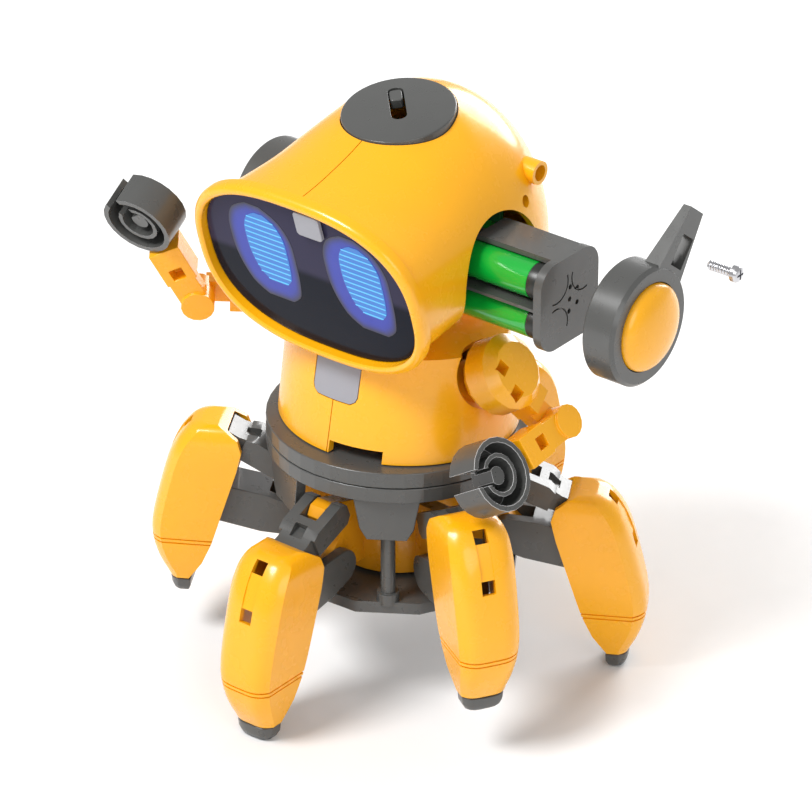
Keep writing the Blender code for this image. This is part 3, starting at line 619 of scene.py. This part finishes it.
def cap():
    profile = [(16.0, -2.6), (16.0, -0.5), (15.8, -0.15), (15.4, 0.0), (9.0, 0.5), (0.02, 0.7)]
    switch = cap_frame() @ Matrix.Translation((-1.6, 1.6, 0.0))
    switch = switch @ Matrix.Rotation(math.radians(-47.0), 4, "Z")
    shape = carve(turned(profile, 112, cap_frame()),
                  ("cut", extrude(rounded(8.0, 2.2, 2.1), -5.0, 3.0, switch)))
    remade("top_cap", shape, width=0.15)


# ---------------------------------------------------------------- torso


def torso_skin(grow, low_z, high_z):
    """The torso's tapering outer form, made larger or smaller all round by `grow`."""
    rings = []
    for height, (half_x, half_y) in ((low_z, TORSO_LOW), (high_z, TORSO_HIGH)):
        ring = circle(1.0, 112)
        rings.append([((half_x + grow) * x, (half_y + grow) * y, height) for x, y in ring])
    return loft(rings)


SIDE_ON = Matrix(((1, 0, 0, 0), (0, 0, 1, 0), (0, 1, 0, 0), (0, 0, 0, 1)))
YZ_PLANE = Matrix(((0, 0, 1, 0), (1, 0, 0, 0), (0, 1, 0, 0), (0, 0, 0, 1)))


def chest_prism(grow):
    side, low = 7.6 + grow, 92.0 - grow
    outline = [(-side, 104.5 + grow), (-side, 94.2), (-side + 0.6, 92.8), (-5.6, low), (5.6, low),
               (side - 0.6, 92.8), (side, 94.2), (side, 104.5 + grow)]
    return extrude(outline, -40.0, -20.0, SIDE_ON)


def torso_half(side):
    shoulder, axis = SHOULDERS[side]
    seat = shoulder - axis * 12.2
    away = -1.0 if side == "right" else 1.0
    low_x, high_x = sorted((away * 60.0, -away * GAP / 2))
    steps = [("cut", torso_skin(-2.0, TORSO_BOTTOM - 1.0, TORSO_TOP - 2.0)),
             ("add", rod((0, 0, TORSO_TOP - 1.0), (0, 0, 114.5), 18.0, 80)),
             ("cut", rod((0, 0, 102.4), (0, 0, 116.0), 16.0, 80)),
             ("cut", ball(shoulder, 12.6)),
             ("cut", chest_prism(GAP)),
             ("add", rod(seat, seat - axis * 3.0, 7.0)),
             ("cut", rod(seat + axis * 2.0, seat - axis * 4.0, 3.08))]
    if side == "right":
        steps.append(("cut", box((0.6, -40.0, 75.7), (16.5, -20.0, 80.3))))
    steps.append(("cut", box((low_x, -60.0, 60.0), (high_x, 60.0, 130.0))))
    remade("torso_" + side, carve(torso_skin(0.0, TORSO_BOTTOM, TORSO_TOP), *steps), width=0.16)


def chest_tab():
    inside = torso_skin(-1.8, TORSO_BOTTOM - 1.0, TORSO_TOP + 1.0)
    shape = torso_skin(GAP, TORSO_BOTTOM, TORSO_TOP - 2.2)
    remade("chest_tab", carve(shape, ("cut", inside), ("meet", chest_prism(0.0))), width=0.2)


# ---------------------------------------------------------------- ears and battery


def sideways(x, side):
    return axes((x * side, *EAR_AXIS), (0.0, 1.0, 0.0), (float(side), 0.0, 0.0))


def ear(side):
    sign, x = (1, EAR_OUT) if side == "right" else (-1, EAR_SEAT)
    place = sideways(x, sign)
    inner = DOME_R + GAP
    section = [(inner, 0.0), (16.5, 0.0), (17.0, 0.5), (17.0, 9.0), (16.0, 10.0), (inner, 10.0)]
    ring = turned(section, 112, place)
    if side == "right":
        lean = math.radians(LEVER_ANGLE)
        blade = axes((x, *EAR_AXIS), (0.0, math.cos(lean), math.sin(lean)), (1.0, 0.0, 0.0))
        out = 1.0 if blade.to_3x3().col[1].dot(Vector((0, -1, 1))) > 0 else -1.0
        low = [(14.0, -6.6 * out, 4.4), (34.0, -4.0 * out, 7.2)]
        low += [(34.0, 3.2 * out, 7.2), (14.0, 6.6 * out, 4.4)]
        lever = moved(loft([low, [(a, b, 9.7) for a, b, _ in low]]), blade)
        at = blade @ Matrix.Translation((0.0, -1.4 * out, 0.0))
        pocket = box((17.6, -2.9, 5.6), (26.6, 2.9, 12.0), at)
        ring = carve(ring, ("add", lever), ("cut", pocket),
                     ("cut", rod((x - 2.0, *SCREW_AXIS), (x + 14.0, *SCREW_AXIS), 1.75)))
    remade("ear_ring_" + side, ring, width=0.35)
    dome = [(DOME_R, 6.0), (DOME_R, 10.0)]
    for i in range(1, 12):
        a = math.pi / 2 * i / 12
        dome.append((DOME_R * math.cos(a), 10.0 + 4.4 * math.sin(a)))
    remade("ear_dome_" + side, turned(dome + [(0.02, 14.4)], 96, place), width=0.0)


def screw():
    """Phillips screw with a rolled thread."""
    y, z = SCREW_AXIS
    start, sides, pitch = SCREW_X, 32, 0.9
    rings = []
    for k in range(73):
        x = start + 0.115 * k
        ring = []
        for i in range(sides):
            a = 2 * math.pi * i / sides
            phase = ((x - start) / pitch - i / sides) % 1.0
            r = 1.18 + 0.32 * (1.0 - abs(2.0 * phase - 1.0)) if 2 < k < 66 else 1.2
            r *= 0.55 + 0.45 * min(1.0, k / 5.0)
            ring.append((x, y + r * math.cos(a), z + r * math.sin(a)))
        rings.append(ring)
    shank = loft(rings)
    head = loft([[(start + dx, y + r * a, z + r * b) for a, b in circle(1.0, 48)]
                 for dx, r in ((8.2, 1.3), (8.25, 2.4), (9.5, 2.4), (10.1, 2.0), (10.4, 1.3))])
    bars = ((1.4, 0.3), (0.3, 1.4))
    cross = [box((start + 9.4, y - a, z - b), (start + 11.0, y + a, z + b)) for a, b in bars]
    shape = carve(shank, ("add", head), *[("cut", bar) for bar in cross])
    remade("ear_screw", shape, smooth=30.0, width=0.0)


def battery():
    y, z = EAR_AXIS
    end_x = BOX_END
    outline = rounded(13.0, 13.0, 6.5, 10)
    tray = extrude(outline, -2.6, 0.0, sideways(end_x, 1))
    steps = [("add", extrude(outline, -2.0, 0.0, sideways(end_x - 46.6, 1))),
             ("add", box((end_x - 47.6, y - 12.0, z - 0.45), (end_x - 2.0, y + 12.0, z + 0.45))),
             ("add", box((end_x - 47.6, y - 0.45, z - 12.0), (end_x - 2.0, y + 0.45, z + 12.0))),
             ("add", box((end_x - 28.0, y - 5.0, z + 11.4), (end_x - 2.0, y + 8.0, z + 12.9)))]
    for cy, cz, first in ((6.0, 6.0, 160.0), (-6.0, 6.0, 250.0), (-6.0, -6.0, -20.0)):
        outer, inner = (circle(radius, 16, (0.0, 0.0), first, 130.0) for radius in (5.4, 4.9))
        at = Matrix.Translation((end_x, y + cy, z + cz)) @ YZ_PLANE
        steps.append(("cut", extrude(outer + inner[::-1], -0.5, 1.0, at)))
    for cy, cz in ((0.0, 0.0), (3.4, 2.2), (3.4, -2.2), (-0.2, -3.6), (0.2, 3.6)):
        hole = rod((end_x - 1.2, y + cy, z + cz), (end_x + 1.0, y + cy, z + cz), 0.75, 24)
        steps.append(("cut", hole))
    remade("battery_box", carve(tray, *steps), width=0.2)
    centres = [(y - 6.0, z + 6.0), (y - 6.0, z - 6.0), (y + 6.0, z + 6.0), (y + 6.0, z - 6.0)]
    for index, (cy, cz) in enumerate(centres):
        place = axes((CELL_START, cy, cz), (0.0, 1.0, 0.0), (1.0, 0.0, 0.0))
        can = [(0.02, 0.0), (4.6, 0.0), (5.0, 0.15), (5.15, 0.5), (5.15, 39.4), (5.02, 39.5)]
        can += [(5.02, 39.8), (5.15, 39.9), (5.15, 42.5), (5.0, 42.85), (4.6, 43.0), (0.02, 43.0)]
        cell = turned(can, 72, place)
        node = "battery_cell_%d" % (index + 1)
        obj = remade(node, cell, smooth=30.0, width=0.0)
        obj.data.materials.append(CELL_END)
        limit = (SHIFT.x + CELL_START + 39.6) * MM
        for polygon in obj.data.polygons:
            if polygon.center.x > limit:
                polygon.material_index = 1


# ---------------------------------------------------------------- build

for leg_name in LEGS:
    leg_shell(leg_name)
    upper_link(leg_name)
for hand in ("left", "right"):
    head_half(hand)
    torso_half(hand)
    ear(hand)
    # the claws' bevel faces take the light grey painted edge highlight
    finished(hand + "_claw", 0.5, 20.0, EDGE_HIGHLIGHT_PAINT)
face()
cap()
chest_tab()
screw()
battery()
for ring_node in ("chassis_ring", "waist_turntable"):
    finished(ring_node, 0.25, 5.0)
for cad_node in frame["nodes"]:
    if not frame["nodes"][cad_node].hide_render:
        finished(cad_node)

# ---------------------------------------------------------------- stage, light and camera


def area(name, place, target, size, power):
    light = bpy.data.lights.new(name, "AREA")
    light.shape = "DISK"
    light.size = size
    light.energy = power
    obj = bpy.data.objects.new(name, light)
    obj.location = place
    obj.rotation_euler = (Vector(target) - Vector(place)).to_track_quat("-Z", "Y").to_euler()
    bpy.context.scene.collection.objects.link(obj)


def stage():
    floor = bpy.data.meshes.new("floor")
    floor.from_pydata([(-6, -6, 0), (6, -6, 0), (6, 6, 0), (-6, 6, 0)], [], [(0, 1, 2, 3)])
    floor.materials.append(plastic("floor_paint", (0.90, 0.90, 0.90), 0.6, 0.01, 0.0, 0.02))
    obj = bpy.data.objects.new("floor", floor)
    obj.location.z = -0.0001
    bpy.context.scene.collection.objects.link(obj)
    world = bpy.data.worlds.new("soft_studio")
    world.use_nodes = True
    world.node_tree.nodes["Background"].inputs["Color"].default_value = (1.0, 1.0, 1.0, 1.0)
    world.node_tree.nodes["Background"].inputs["Strength"].default_value = 0.50
    bpy.context.scene.world = world
    area("key", (-0.30, -0.75, 1.10), (0, 0, 0.1), 0.5, 14.0)
    area("fill", (1.0, -0.6, 0.6), (0, 0, 0.1), 0.8, 3.5)
    area("back", (-0.15, 1.15, 0.50), (0, 0, 0.08), 0.8, 13.0)


def camera():
    """Front right, from above, with a long lens."""
    a, e = math.radians(CAMERA_AZIMUTH), math.radians(CAMERA_ELEVATION)
    back = Vector((math.sin(a) * math.cos(e), -math.cos(a) * math.cos(e), math.sin(e)))
    right = Vector((math.cos(a), math.sin(a), 0.0))
    up = back.cross(right)
    eye_point = PLACE @ Vector((738.7, -928.7, 724.3))
    lens = bpy.data.cameras.new("camera")
    lens.sensor_width = 36.0
    lens.lens = 212.8
    lens.clip_end = 30.0
    obj = bpy.data.objects.new("camera", lens)
    obj.matrix_world = Matrix.Translation(eye_point) @ Matrix((right, up, back)).transposed().to_4x4()
    bpy.context.scene.collection.objects.link(obj)
    bpy.context.scene.camera = obj


stage()
camera()
bpy.context.scene.view_settings.view_transform = "Standard"
